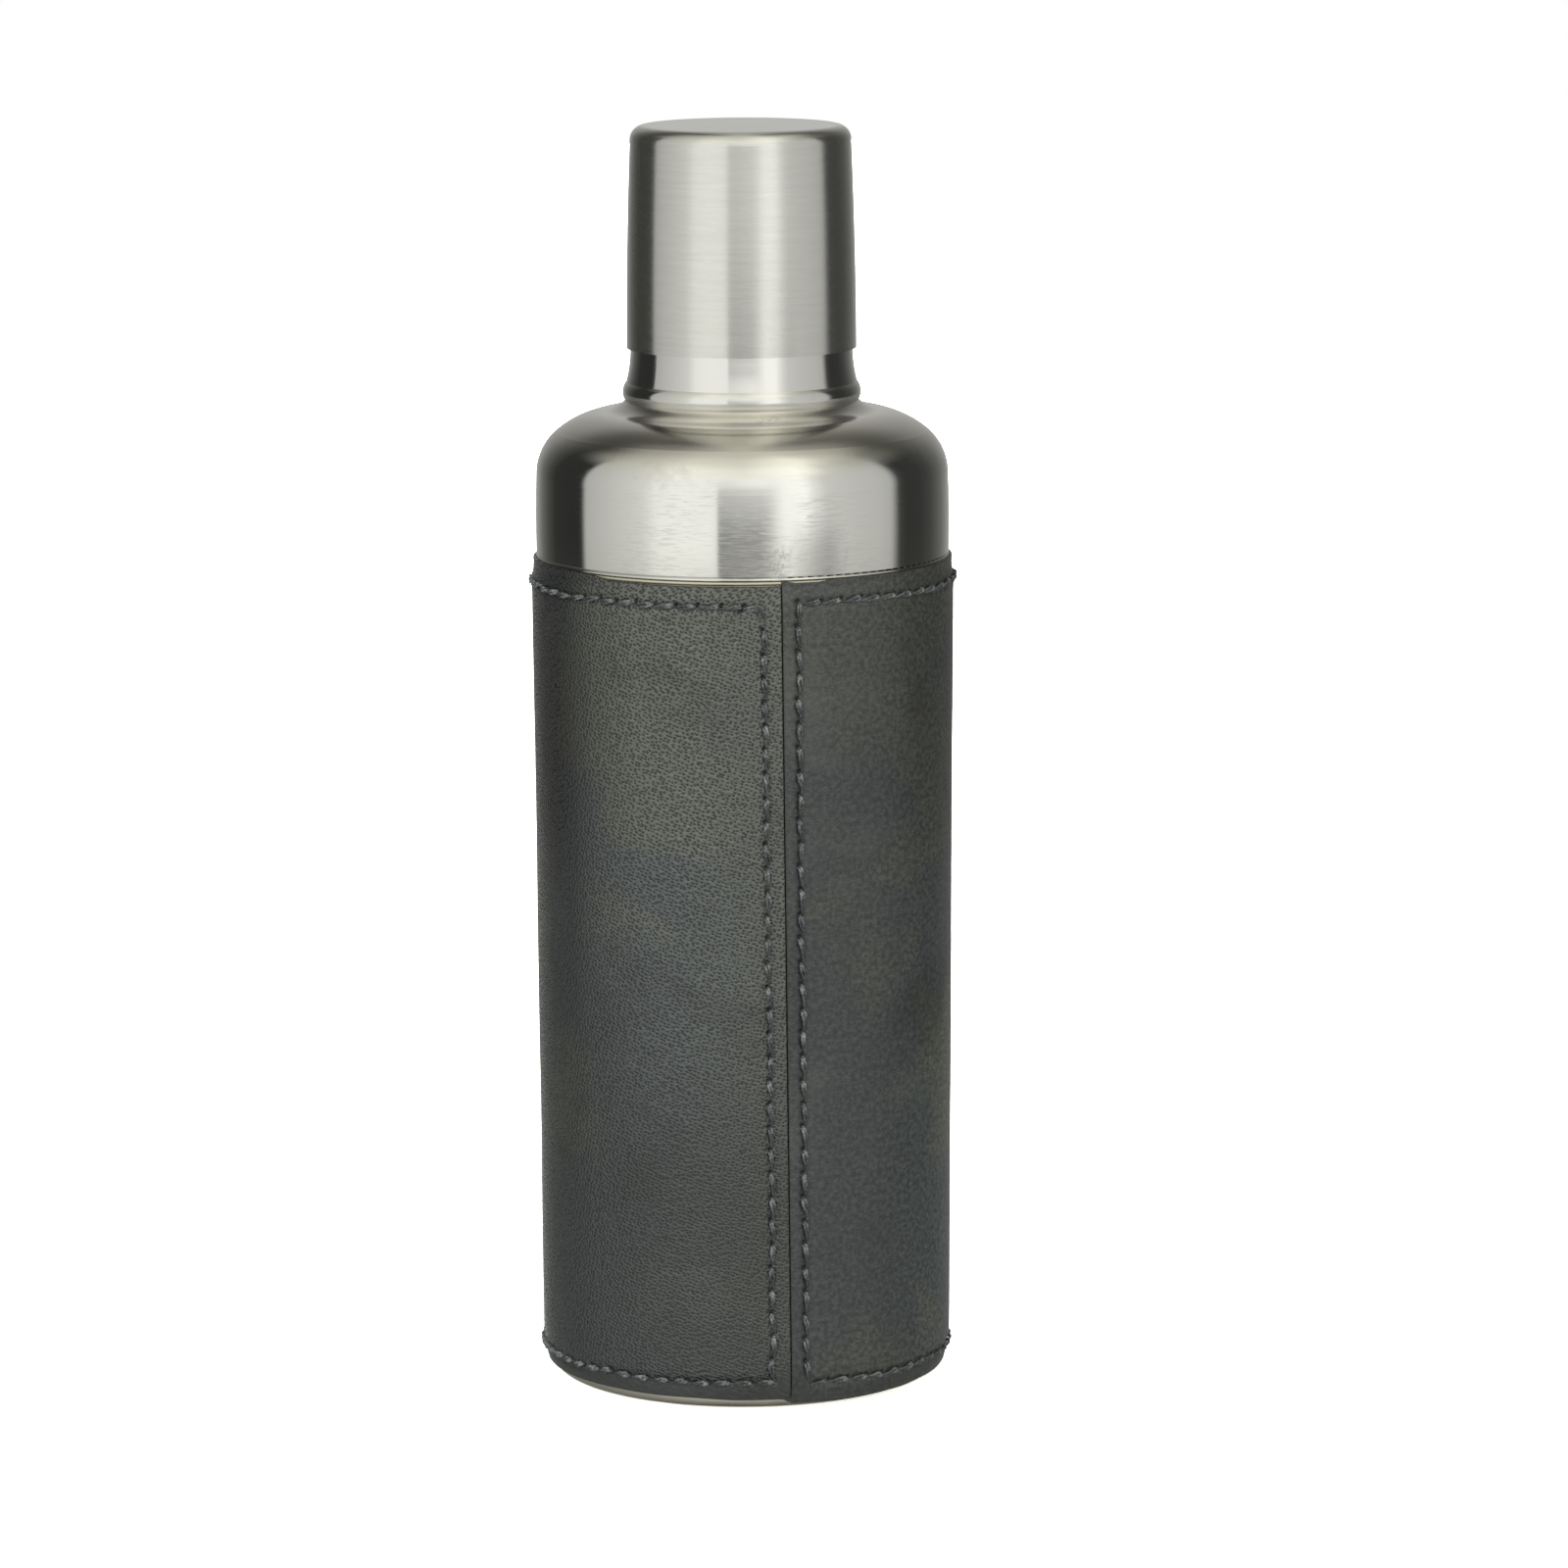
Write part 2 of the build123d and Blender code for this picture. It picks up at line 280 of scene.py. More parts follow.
# Brightness seen from the object: for each elevation, levels by azimuth from the camera's side.
# White strips stand on both sides of the camera, grey panels beside them, and dark flags behind.
# A None goes on with the levels before it up to its own elevation.
STUDIO = [
    (-34, [(-180, .12), (-120, .35), (-60, .60), (-25, .95), (25, .95), (60, .62), (120, .35), (180, .12)]),
    (-16, [(-180, 1.2), (-172, 1.0), (-158, .40), (-140, .16), (-103, .10), (-97, .20), (-80, .34),
           (-50, .30), (-22, .20), (0, .16), (18, .20), (32, .30), (50, .30), (80, .34), (92, .20),
           (98, .10), (140, .16), (158, .40), (172, 1.0), (180, 1.2)]),
    (-7.5, [(-180, .60), (-170, .42), (-160, .33), (-148, .17), (-138, .09), (-128, .04), (-103, .035),
            (-100.5, .07), (-97.5, .62), (-82, .74), (-66, .87), (-57, .96), (-48, 1.25), (-33, 1.32),
            (14, 1.24), (18, 1.32), (25, 1.46), (35, 1.48), (41, 1.12), (48, .86), (66, .76), (82, .70),
            (91, .62), (95, .28), (97.5, .07), (104, .045), (118, .05), (130, .08), (145, .17), (160, .33),
            (172, .45), (180, .60)]),
    (24, None),
    (45, [(-180, .57), (-172, .36), (-160, .15), (-147, .09), (-127, .05), (-117, .20), (-103, .47),
          (-88, .70), (-76, .78), (-60, .95), (-48, 1.15), (-36, 1.33), (0, 1.17), (18, 1.42), (38, 1.58),
          (46, 1.40), (56, .90), (77, .64), (90, .54), (103, .26), (117, .18), (129, .10), (142, .10),
          (160, .22), (172, .42), (180, .57)]),
    (64, [(-180, .66), (-166, .42), (-152, .10), (-140, .14), (-128, .38), (-106, .55), (-94, .62),
          (-72, .80), (-50, 1.03), (-26, 1.02), (0, .98), (26, 1.26), (50, 1.48), (60, 1.3), (72, .92),
          (92, .72), (106, .62), (128, .46), (140, .25), (152, .15), (166, .45), (180, .66)]),
    (86, [(-180, .72), (-90, .80), (0, .80), (90, .85), (180, .72)]),
]
# The gap between the strips in which the camera stands, by elevation
CAMERA_GAP = [(-16, .20), (-12, .36), (-9, .46), (-6.6, .48), (-5, .60), (-3.2, .95), (1, .90), (6, .86),
              (12, 1.04), (20, 1.16), (28, 1.2)]
# The studio is a little warm above and below the strips: its blue, by elevation
WARMTH = [(-90, .90), (-13, .93), (-6, .965), (22, .965), (42, .88), (90, .88)]

PAPER = (0.8, 0.8, 0.8, 1)
PAPER_TO_CAMERA = (4.6, 4.6, 4.8, 1)        # so bright that the sheet shows white
FLOOR_HALF = 3.0                            # metres from the sheet's middle to its sides
FLOOR_GAP = 0.0002                          # metres that it lies below the standing ring


def make_world():
    """The studio that the steel mirrors, a softer copy that lights the rest, and white to the camera."""
    world = bpy.data.worlds.new("studio")
    world.use_nodes = True
    bpy.context.scene.world = world
    n = Nodes(world.node_tree)
    direction = n.node("ShaderNodeTexCoord").outputs["Generated"]
    turn = math.radians(CAMERA_AZIMUTH)
    ahead = n.vector("DOT_PRODUCT", direction, (math.sin(turn), -math.cos(turn), 0))
    across = n.vector("DOT_PRODUCT", direction, (math.cos(turn), math.sin(turn), 0))
    azimuth = n.math("MULTIPLY", n.math("ARCTAN2", across, ahead), 180 / math.pi)
    elevation = n.math("MULTIPLY", n.math("ARCSINE", n.split(direction)[2]), 180 / math.pi)

    below, ring = STUDIO[0]
    level = n.profile(azimuth, ring)
    for above, ring in STUDIO[1:]:
        if ring:
            level = n.blend(n.step(elevation, below, above), level, n.profile(azimuth, ring))
        below = above
    # the gap between the strips has a sharp left edge and a soft right one
    gap = n.math("MULTIPLY", n.step(azimuth, -14.8, -12.6), n.step(azimuth, 24.0, 9.0))
    gap = n.math("MULTIPLY", gap, n.step(elevation, 36, 24))
    # a grey panel leans on the right strip's foot
    panel = n.math("MULTIPLY", n.step(azimuth, 24, 35), n.step(azimuth, 60, 48))
    panel = n.math("MULTIPLY", panel, n.step(elevation, -5, -8))
    level = n.math("MULTIPLY", level, n.math("MULTIPLY_ADD", panel, -0.38, 1.0))
    in_gap = n.math("MULTIPLY", n.profile(elevation, CAMERA_GAP), n.step(azimuth, -14, 14, 0.96, 1.14))
    level = n.blend(gap, level, in_gap)

    path = n.node("ShaderNodeLightPath").outputs
    softer = n.math("MULTIPLY_ADD", level, 0.85, 0.12)
    level = n.blend(path["Is Diffuse Ray"], level, softer)
    level = n.blend(path["Is Camera Ray"], level, 1.0)
    blue = n.blend(path["Is Camera Ray"], n.profile(elevation, WARMTH), 1.0)
    green = n.math("MULTIPLY_ADD", blue, 0.1, 0.9)
    background = n.node("ShaderNodeBackground", {"Color": n.join(1.0, green, blue), "Strength": level})
    out = n.node("ShaderNodeOutputWorld")
    n.tree.links.new(background.outputs[0], out.inputs[0])


def make_floor():
    """A large pale sheet, white to the camera, that keeps the object's shadow."""
    mesh = bpy.data.meshes.new("floor")
    corners = [(x * FLOOR_HALF, y * FLOOR_HALF, 0) for x, y in ((-1, -1), (1, -1), (1, 1), (-1, 1))]
    mesh.from_pydata(corners, [], [(0, 1, 2, 3)])
    floor = show("floor", mesh)
    floor.location.z = -FLOOR_GAP
    floor.visible_glossy = False
    paper, n = material("floor_paper")
    is_camera = n.node("ShaderNodeLightPath").outputs["Is Camera Ray"]
    n.surface("ShaderNodeBsdfDiffuse", {"Color": n.mix(is_camera, PAPER, PAPER_TO_CAMERA)})
    mesh.materials.append(paper)


# ---- Steel --------------------------------------------------------------------------------------

# A stretch of a piece with a look of its own: its two heights and their blur in mm, tint, roughness
Band = namedtuple("Band", "low high blur tint roughness")
# painted light: the rubbed lines, whose light and shade are painted into the steel's colour, centre this
# many degrees right of the camera's side
PAINTED_SCRATCH_LIGHT_RIGHT = 3.5            # the dome is rubbed this many degrees right of the camera's side
GRAIN = 0.00001               # metres that the brushing and scratches stand up


def turned_coordinates(n, around, along):
    """Coordinates for marks that run round the axis, the same on sides, shoulders and flat tops."""
    place = n.node("ShaderNodeTexCoord").outputs["Object"]
    x, y, z = n.split(place)
    level = n.join(x, y, 0.0)
    radius = n.vector("LENGTH", level)
    cx, cy, _ = n.split(n.vector("NORMALIZE", level))
    profile = n.math("SUBTRACT", z, radius)
    return n.join(
        n.math("MULTIPLY", cx, around),
        n.math("MULTIPLY", cy, around),
        n.math("MULTIPLY", profile, along),
    ), place


def facing(n, place, azimuth):
    """Cosine of the angle between the side that a place is on and an azimuth."""
    turn = math.radians(azimuth)
    level = n.vector("NORMALIZE", n.vector("MULTIPLY", place, (1, 1, 0)))
    return n.vector("DOT_PRODUCT", level, (math.sin(turn), -math.cos(turn), 0))


def scratches(n, height, bands):
    """Short scratches that run nearly level: the pattern itself, and how much it shows."""
    leaning, place = turned_coordinates(n, 7.5, 3600.0)
    leaning = n.vector("ADD", leaning, n.scale(place, 130.0))
    line = n.noise(leaning, 1.0, 3.0, 0.62, 0.5)
    scratch = n.step(line, 0.44, 0.66)
    patch = n.noise(place, 30.0, 3.0, 0.6)
    scratch = n.math("MULTIPLY", scratch, n.step(patch, 0.36, 0.56, 0.25, 1.0))
    # most of them in front, where it is gripped and set down, and few in the bands and above them
    in_front = n.step(facing(n, place, CAMERA_AZIMUTH), 0.70, 0.98, 0.35, 1.3)
    scratch = n.math("MULTIPLY", scratch, in_front)
    for band in bands:
        below = n.step(height, (band.low - band.blur) * MM, band.low * MM, 1.0, 0.2)
        scratch = n.math("MULTIPLY", scratch, below)
    return line, scratch


def steel(name, tint, roughness, brushing, hairs, clouds, bands=(), metal=1.0):
    """Stainless steel with marks: `brushing` round the axis, `hairs` and `clouds` from handling.

    Those three say how strong each kind of mark is. The bands have a look of their own.
    """
    made, n = material(name)
    lines, place = turned_coordinates(n, 7.0, 5200.0)
    fine = n.noise(lines, 1.0, 3.0, 0.7)
    broad_lines, _ = turned_coordinates(n, 1.5, 1100.0)
    broad = n.noise(broad_lines, 1.0, 2.0, 0.6)
    height = n.split(place)[2]
    line, scratch = scratches(n, height, bands)

    # the lower front of the dome, where it faces the camera, has fine rubbed lines with painted light and
    # painted shade in its colour
    rubbed = n.step(facing(n, place, CAMERA_AZIMUTH + PAINTED_SCRATCH_LIGHT_RIGHT), 0.974, 0.990)
    rubbed = n.math("MULTIPLY", rubbed, n.step(height, 0.176, 0.165))
    rubbed = n.math("MULTIPLY", rubbed, n.math("SUBTRACT", line, 0.53))

    cloud = n.noise(place, 60.0, 4.0, 0.62, 0.4)
    smudge = n.math("MULTIPLY", n.step(cloud, 0.60, 0.72), n.step(n.noise(place, 420.0, 3.0), 0.42, 0.6))
    stained = n.noise(n.vector("ADD", place, (0.4, 0.2, 0.9)), 52.0, 3.0, 0.6)
    speck = n.step(n.noise(place, 1500.0, 3.0, 0.6), 0.42, 0.62)
    stain = n.math("MULTIPLY", n.step(stained, 0.57, 0.68), n.math("MULTIPLY_ADD", speck, 0.8, 0.2))

    colour = n.join(*tint)
    rough = roughness
    for band in bands:
        inside = n.math("MULTIPLY", n.step(height, (band.low - band.blur) * MM, band.low * MM),
                        n.step(height, (band.high + band.blur) * MM, band.high * MM))
        colour = n.mix(inside, colour, (*band.tint, 1))
        rough = n.blend(inside, rough, band.roughness)
    rough = n.math("MULTIPLY_ADD", n.math("SUBTRACT", fine, 0.5), brushing * 0.12, rough)
    rough = n.math("MULTIPLY_ADD", scratch, hairs, rough)
    rough = n.math("MULTIPLY_ADD", smudge, clouds * 0.10, rough)
    rough = n.math("MULTIPLY_ADD", stain, clouds * 0.10, rough)
    shade = n.math("MULTIPLY_ADD", n.math("SUBTRACT", broad, 0.5), brushing * 0.07, 1.0)
    shade = n.math("MULTIPLY_ADD", n.math("SUBTRACT", fine, 0.5), brushing * 0.10, shade)
    # painted light and painted shade of the rubbed lines
    shade = n.math("MULTIPLY_ADD", rubbed, hairs * 6, shade)
    shade = n.math("MULTIPLY_ADD", smudge, clouds * -0.09, shade)
    shade = n.math("MULTIPLY_ADD", stain, clouds * -0.22, shade)
    relief = n.math("MULTIPLY_ADD", scratch, hairs * -2.6, n.math("MULTIPLY", fine, brushing))
    n.surface("ShaderNodeBsdfPrincipled", {
        "Base Color": n.scale(colour, shade),
        "Metallic": metal,
        "Roughness": rough,
        "Normal": n.bump(relief, GRAIN, 0.3),
    })
    return made


def dress_steel():
    """Gives each steel node its look, and returns the looks by node."""
    crown = Band(181.0, 190.0, 3.0, (0.61, 0.595, 0.55), 0.17)
    # painted highlight: a thin ring under the bead with a much paler tint than the neck's, and a rougher
    # finish
    painted_highlight_below_bead = Band(187.0, 188.8, 0.15, (0.86, 0.85, 0.81), 0.34)
    rim = Band(150.0, 160.0, 0.1, (0.66, 0.63, 0.51), 0.5)
    looks = {
        "cap": steel("cap_steel", (0.575, 0.575, 0.545), 0.165, 1.8, 0.03, 0.0, metal=0.95),
        "neck_collar": steel("neck_steel", (0.615, 0.61, 0.585), 0.08, 0.35, 0.04, 0.4, [painted_highlight_below_bead]),
        "strainer": steel("strainer_steel", (0.64, 0.64, 0.61), 0.12, 0.4, 0.05, 0.4),
        "dome": steel("dome_steel", (0.64, 0.64, 0.61), 0.07, 0.2, 0.15, 1.0, [crown]),
        "plug_ring": steel("plug_steel", (0.60, 0.59, 0.54), 0.25, 0.6, 0.1, 0.5),
        "beaker": steel("beaker_steel", (0.60, 0.585, 0.52), 0.34, 0.8, 0.1, 0.5, [rim]),
    }
    for node, look in looks.items():
        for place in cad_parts[node].material_slots:
            place.material = look
    return looks


# The lip's outline, as radius and height, and the number of flats round it
LIP = [(38.95, 158.3), (38.95, 157.95), (39.0, 157.86), (39.08, 157.83), (39.16, 157.87),
       (39.18, 157.96), (39.16, 158.3)]
LIP_SIDES = 192


def make_foot_lip(look):
    """The dome's foot turns down in a thin lip that all but closes the gap above the beaker's rim."""
    verts = []
    for side in range(LIP_SIDES):
        turn = 2 * math.pi * side / LIP_SIDES
        verts += [(r * math.cos(turn) * MM, r * math.sin(turn) * MM, z * MM) for r, z in LIP]
    faces = []
    count = len(LIP)
    for side in range(LIP_SIDES):
        a, b = side * count, (side + 1) % LIP_SIDES * count
        for point in range(count):
            after = (point + 1) % count
            faces.append((a + point, b + point, b + after, a + after))
    mesh = bpy.data.meshes.new("dome_foot_lip")
    mesh.from_pydata(verts, [], faces)
    mesh.polygons.foreach_set("use_smooth", [True] * len(faces))
    lip = show("dome_foot_lip", mesh)
    mesh.materials.append(look)
    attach(lip, TOP_BODY)


# ---- Stitches -----------------------------------------------------------------------------------

# A stitch is a short path over the leather, its round head first: points as (along, height).


def hem_stitches(top):
    """Stitches of a hem row, from the left side of the seam round to its right side."""
    lines = []
    for index in range(HEM_STITCHES + 1):
        share = 1 - index / HEM_STITCHES
        tilt = ROW_TILT * (1 - 2 * share)
        z = TOP_ROW + tilt if top else BOTTOM_ROW - tilt
        run = 2 * math.pi * sleeve_radius(z) - 2 * ROW_FROM_SEAM
        lines.append((seam_position(z) + ROW_FROM_SEAM + share * run, z))
    return lines


def seam_stitches(side):
    """Holes of the row beside the seam, from the top down."""
    top, bottom = TOP_ROW + side * ROW_TILT, BOTTOM_ROW - side * ROW_TILT
    lines = []
    for index in range(SEAM_STITCHES + 1):
        z = top + (bottom - top) * index / SEAM_STITCHES
        along = side * ROW_FROM_SEAM + (0 if side > 0 else 2 * math.pi * sleeve_radius(z))
        lines.append((seam_position(z) + along, z))
    return lines


def uneven(points, rng, amount=0.2):
    """The points as a hand leaves them: not quite evenly spaced nor in line."""
    return [(a + rng.uniform(-amount, amount), z + rng.uniform(-amount, amount)) for a, z in points]


CORNER_BEND = 0.9            # how far the stitch round the left corner swings out past it


def stitch_rows():
    """Each row's stitches, as paths of a head, a bend and a tail."""
    rng = random.Random(SEED)
    top = uneven(hem_stitches(True), rng)
    bottom = uneven(hem_stitches(False), rng)
    left = uneven(seam_stitches(-1), rng)
    right = uneven(seam_stitches(1), rng)
    corner = (left[0][0] + CORNER_BEND, left[0][1] + CORNER_BEND)
    long_stitch = (top[1], corner, left[1])
    return {
        "top_hem_stitches": straight(top[1:]),
        "bottom_hem_stitches": straight(bottom),
        "left_seam_stitches": [long_stitch, *straight(left[1:])],
        "right_seam_stitches": straight(right),
    }


def straight(points):
    """Straight stitches from each point to the next."""
    middle = [((a + c) / 2, (b + d) / 2) for (a, b), (c, d) in zip(points[:-1], points[1:])]
    return list(zip(points[:-1], middle, points[1:]))


THREAD_SIDES = 10            # flats round a strand
THREAD_STEPS = 20            # rings along it
STRAND = 0.25                # radius of one of the two strands
SLANT = 0.55                 # how far a stitch crosses its row, from head to tail
HEAD = 0.035                 # the strands start this share along a stitch; its hole is as far before it
HEAD_SHIFT = 0.028           # one strand starts later by this, and the other sooner
DEPTH = 0.05                 # how deep a stitch is pulled into the leather, but for these rows
ROW_DEPTH = {"left_seam_stitches": 0.22}


def beside(path, share, aside):
    """A point at a share of the way along a stitch's path, `aside` mm to the right of that way."""
    (a0, z0), (a1, z1), (a2, z2) = path
    rest = 1 - share
    along = rest * rest * a0 + 2 * rest * share * a1 + share * share * a2
    z = rest * rest * z0 + 2 * rest * share * z1 + share * share * z2
    ux = rest * (a1 - a0) + share * (a2 - a1)
    uz = rest * (z1 - z0) + share * (z2 - z1)
    length = math.hypot(ux, uz)
    return along + uz / length * aside, z - ux / length * aside


def stitch_hole(path):
    """The hole that a stitch comes out of; painted shade shows it as a dark arch round the stitch's head.
    """
    return beside(path, -HEAD, SLANT / 2 + 0.08)


def add_strand(verts, faces, strand_tones_and_sheen, path, rng, side, lead, depth, slant):
    """One strand of a stitch, from its hole at the head to where it sinks in at the tail.

    The two strands lie on either side of the stitch's middle and twist round it.
    """
    width = STRAND * rng.uniform(0.82, 1.18)
    wobble = rng.uniform(0, 6.28)
    turns = rng.uniform(1.4, 3.4)
    tone = rng.uniform(-0.25, 0.25)
    first = len(verts)
    for step in range(THREAD_STEPS + 1):
        t = step / THREAD_STEPS
        share = lead + (1.02 - lead) * (t**1.2)
        rise = 1.08 * smooth(-0.06, 0.13, t) - 0.72
        lift = rise + 0.20 * math.sin(math.pi * min(1.0, t * 1.6)) - 0.62 * smooth(0.6, 1.0, t)
        apart = 0.10 + 0.15 * math.sin(math.pi * (0.10 + 0.84 * t))
        twist = turns * (t - 0.35)
        aside = side * apart * math.cos(twist) + slant * (0.5 - smooth(0.0, 1.05, t))
        lift += side * apart * 0.7 * math.sin(twist) - depth
        aside += 0.09 * math.sin(7 * t + wobble)
        along, z = beside(path, share, aside)
        right_along, right_z = beside(path, share, aside + 1)
        thick = width * (1.04 + 0.10 * math.sin(math.pi * t) - 0.26 * smooth(0.45, 1.0, t))
        for corner in range(THREAD_SIDES):
            angle = 2 * math.pi * corner / THREAD_SIDES
            w, h = thick * math.cos(angle), thick * 0.95 * math.sin(angle)
            verts.append(leather_point(along + (right_along - along) * w, z + (right_z - z) * w, lift + h))
            # each strand's own tone, with a painted highlight at the head that fades to painted shade where
            # the strand sinks in
            strand_tones_and_sheen.append(tone + 1.0 - 0.95 * smooth(0.08, 0.62, t))
    for step in range(THREAD_STEPS):
        for corner in range(THREAD_SIDES):
            a = first + step * THREAD_SIDES + corner
            b = first + step * THREAD_SIDES + (corner + 1) % THREAD_SIDES
            faces.append((a, a + THREAD_SIDES, b + THREAD_SIDES, b))
    last = first + THREAD_STEPS * THREAD_SIDES
    faces.append(tuple(range(first, first + THREAD_SIDES)))
    faces.append(tuple(range(last + THREAD_SIDES - 1, last - 1, -1)))


def make_stitches(rows):
    """Each row of stitches as real thread: two strands a stitch."""
    look = thread_look()
    rng = random.Random(SEED + 1)
    for name, paths in rows.items():
        verts, faces, strand_tones_and_sheen = [], [], []
        for path in paths:
            depth = ROW_DEPTH.get(name, DEPTH) + rng.uniform(-0.05, 0.08)
            slant = SLANT * rng.uniform(0.6, 1.3)
            for side in (-1, 1):
                lead = HEAD + HEAD_SHIFT * side
                add_strand(verts, faces, strand_tones_and_sheen, path, rng, side, lead, depth, slant)
        mesh = bpy.data.meshes.new(name + "_thread")
        mesh.from_pydata(verts, [], faces)
        mesh.polygons.foreach_set("use_smooth", [len(face) == 4 for face in faces])
        mesh.attributes.new("tone", "FLOAT", "POINT").data.foreach_set("value", strand_tones_and_sheen)
        mesh.update()
        row = show(name + "_thread", mesh)
        mesh.materials.append(look)
        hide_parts(name)
        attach(row, "beaker_body")


def thread_look():
    """Waxed slate-grey thread with paler fibres, with a painted highlight at each stitch's head that fades
    to painted shade at its tail.
    """
    made, n = material("thread")
    place = n.node("ShaderNodeTexCoord").outputs["Object"]
    tone = n.noise(place, 260.0, 2.0, 0.6)
    fibre = n.noise(place, 6500.0, 2.0, 0.6)
    colour = n.mix(n.step(tone, 0.35, 0.65), (0.078, 0.088, 0.104, 1), (0.135, 0.145, 0.155, 1))
    # painted highlight at each stitch's head and painted shade at its tail, on the strand's own tone
    tone_and_head_sheen = n.node("ShaderNodeAttribute", attribute_name="tone").outputs["Fac"]
    colour = n.scale(colour, n.step(tone_and_head_sheen, 0.0, 1.2, 0.46, 1.95))
    ply = n.noise(place, 2100.0, 2.0, 0.6)
    colour = n.scale(colour, n.step(ply, 0.40, 0.58, 0.35, 1.35))
    colour = n.mix(n.math("MULTIPLY", n.step(fibre, 0.52, 0.70), 0.6), colour, (0.36, 0.365, 0.36, 1))
    colour = n.mix(n.math("MULTIPLY", n.step(fibre, 0.42, 0.30), 0.6), colour, (0.03, 0.03, 0.032, 1))
    n.surface("ShaderNodeBsdfPrincipled", {
        "Base Color": colour,
        "Roughness": 0.45,
        "Specular IOR Level": 0.6,
        "Normal": n.bump(fibre, 0.00008, 0.8),
    })
    return made


# ---- Leather ------------------------------------------------------------------------------------

CELL = 1.0                   # of the leather's mesh, away from edges and stitches
EDGE_LINES = (0, .03, .08, .15, CUT_EDGE, .5, .9, 1.4)
STITCH_BAND = 1.25           # cells nearer than this to a stitch are cut finer
LOOKUP = 4.0                 # cell of the table that stitches are looked up in
FAR = 9.0                    # stands for the distance to a stitch that isn't near
ON_EDGE = 0.01               # vertices nearer than this to an edge of the pattern are on it
STEEL_PLAY = 0.03            # between the inner face and the steel
LINING_PLAY = 0.02           # between the inner face and the lining
RIM_PLAY = 0.46              # between the inner face and the steel at the very top
LINING_STEP = 0.2            # half the height in which the inner face steps out over the lining


def grid_lines(length):
    """Mesh lines along a length, closer together at both cut edges."""
    inner = length - 2 * EDGE_LINES[-1]
    count = round(inner / CELL)
    middle = [EDGE_LINES[-1] + inner * index / count for index in range(1, count)]
    return [*EDGE_LINES, *middle, *(length - line for line in reversed(EDGE_LINES))]


def stitch_field(rows):
    """Looks up the distance to the nearest stitch and to the nearest hole, at a place on the leather."""
    cells = {}
    for path in (path for paths in rows.values() for path in paths):
        spots = [beside(path, share, 0.0) for share in (0, 0.25, 0.5, 0.75, 1)]
        for start, end in zip(spots[:-1], spots[1:]):
            where = (int(start[0] // LOOKUP), int(start[1] // LOOKUP))
            cells.setdefault(where, []).append((start, end, stitch_hole(path)))

    def near(along, z):
        best, hole = FAR, FAR
        column, row = int(along // LOOKUP), int(z // LOOKUP)
        around_here = [(i, j) for i in (column - 1, column, column + 1) for j in (row - 1, row, row + 1)]
        for where in around_here:
            for (a0, z0), (a1, z1), (hole_along, hole_z) in cells.get(where, ()):
                run2 = (a1 - a0) ** 2 + (z1 - z0) ** 2
                t = ((along - a0) * (a1 - a0) + (z - z0) * (z1 - z0)) / run2
                t = min(1.0, max(0.0, t))
                best = min(best, math.hypot(along - a0 - t * (a1 - a0), z - z0 - t * (z1 - z0)))
                hole = min(hole, math.hypot(along - hole_along, z - hole_z))
        return best, hole

    return near


def zip_edges(faces, one, two):
    """Triangles between two runs of vertices that begin and end beside each other."""
    i = j = 0
    while i < len(one) - 1 or j < len(two) - 1:
        one_lags = (i + 1) * (len(two) - 1) <= (j + 1) * (len(one) - 1)
        if one_lags and i < len(one) - 1 or j == len(two) - 1:
            faces.append((one[i], one[i + 1], two[j]))
            i += 1
        else:
            faces.append((one[i], two[j + 1], two[j]))
            j += 1


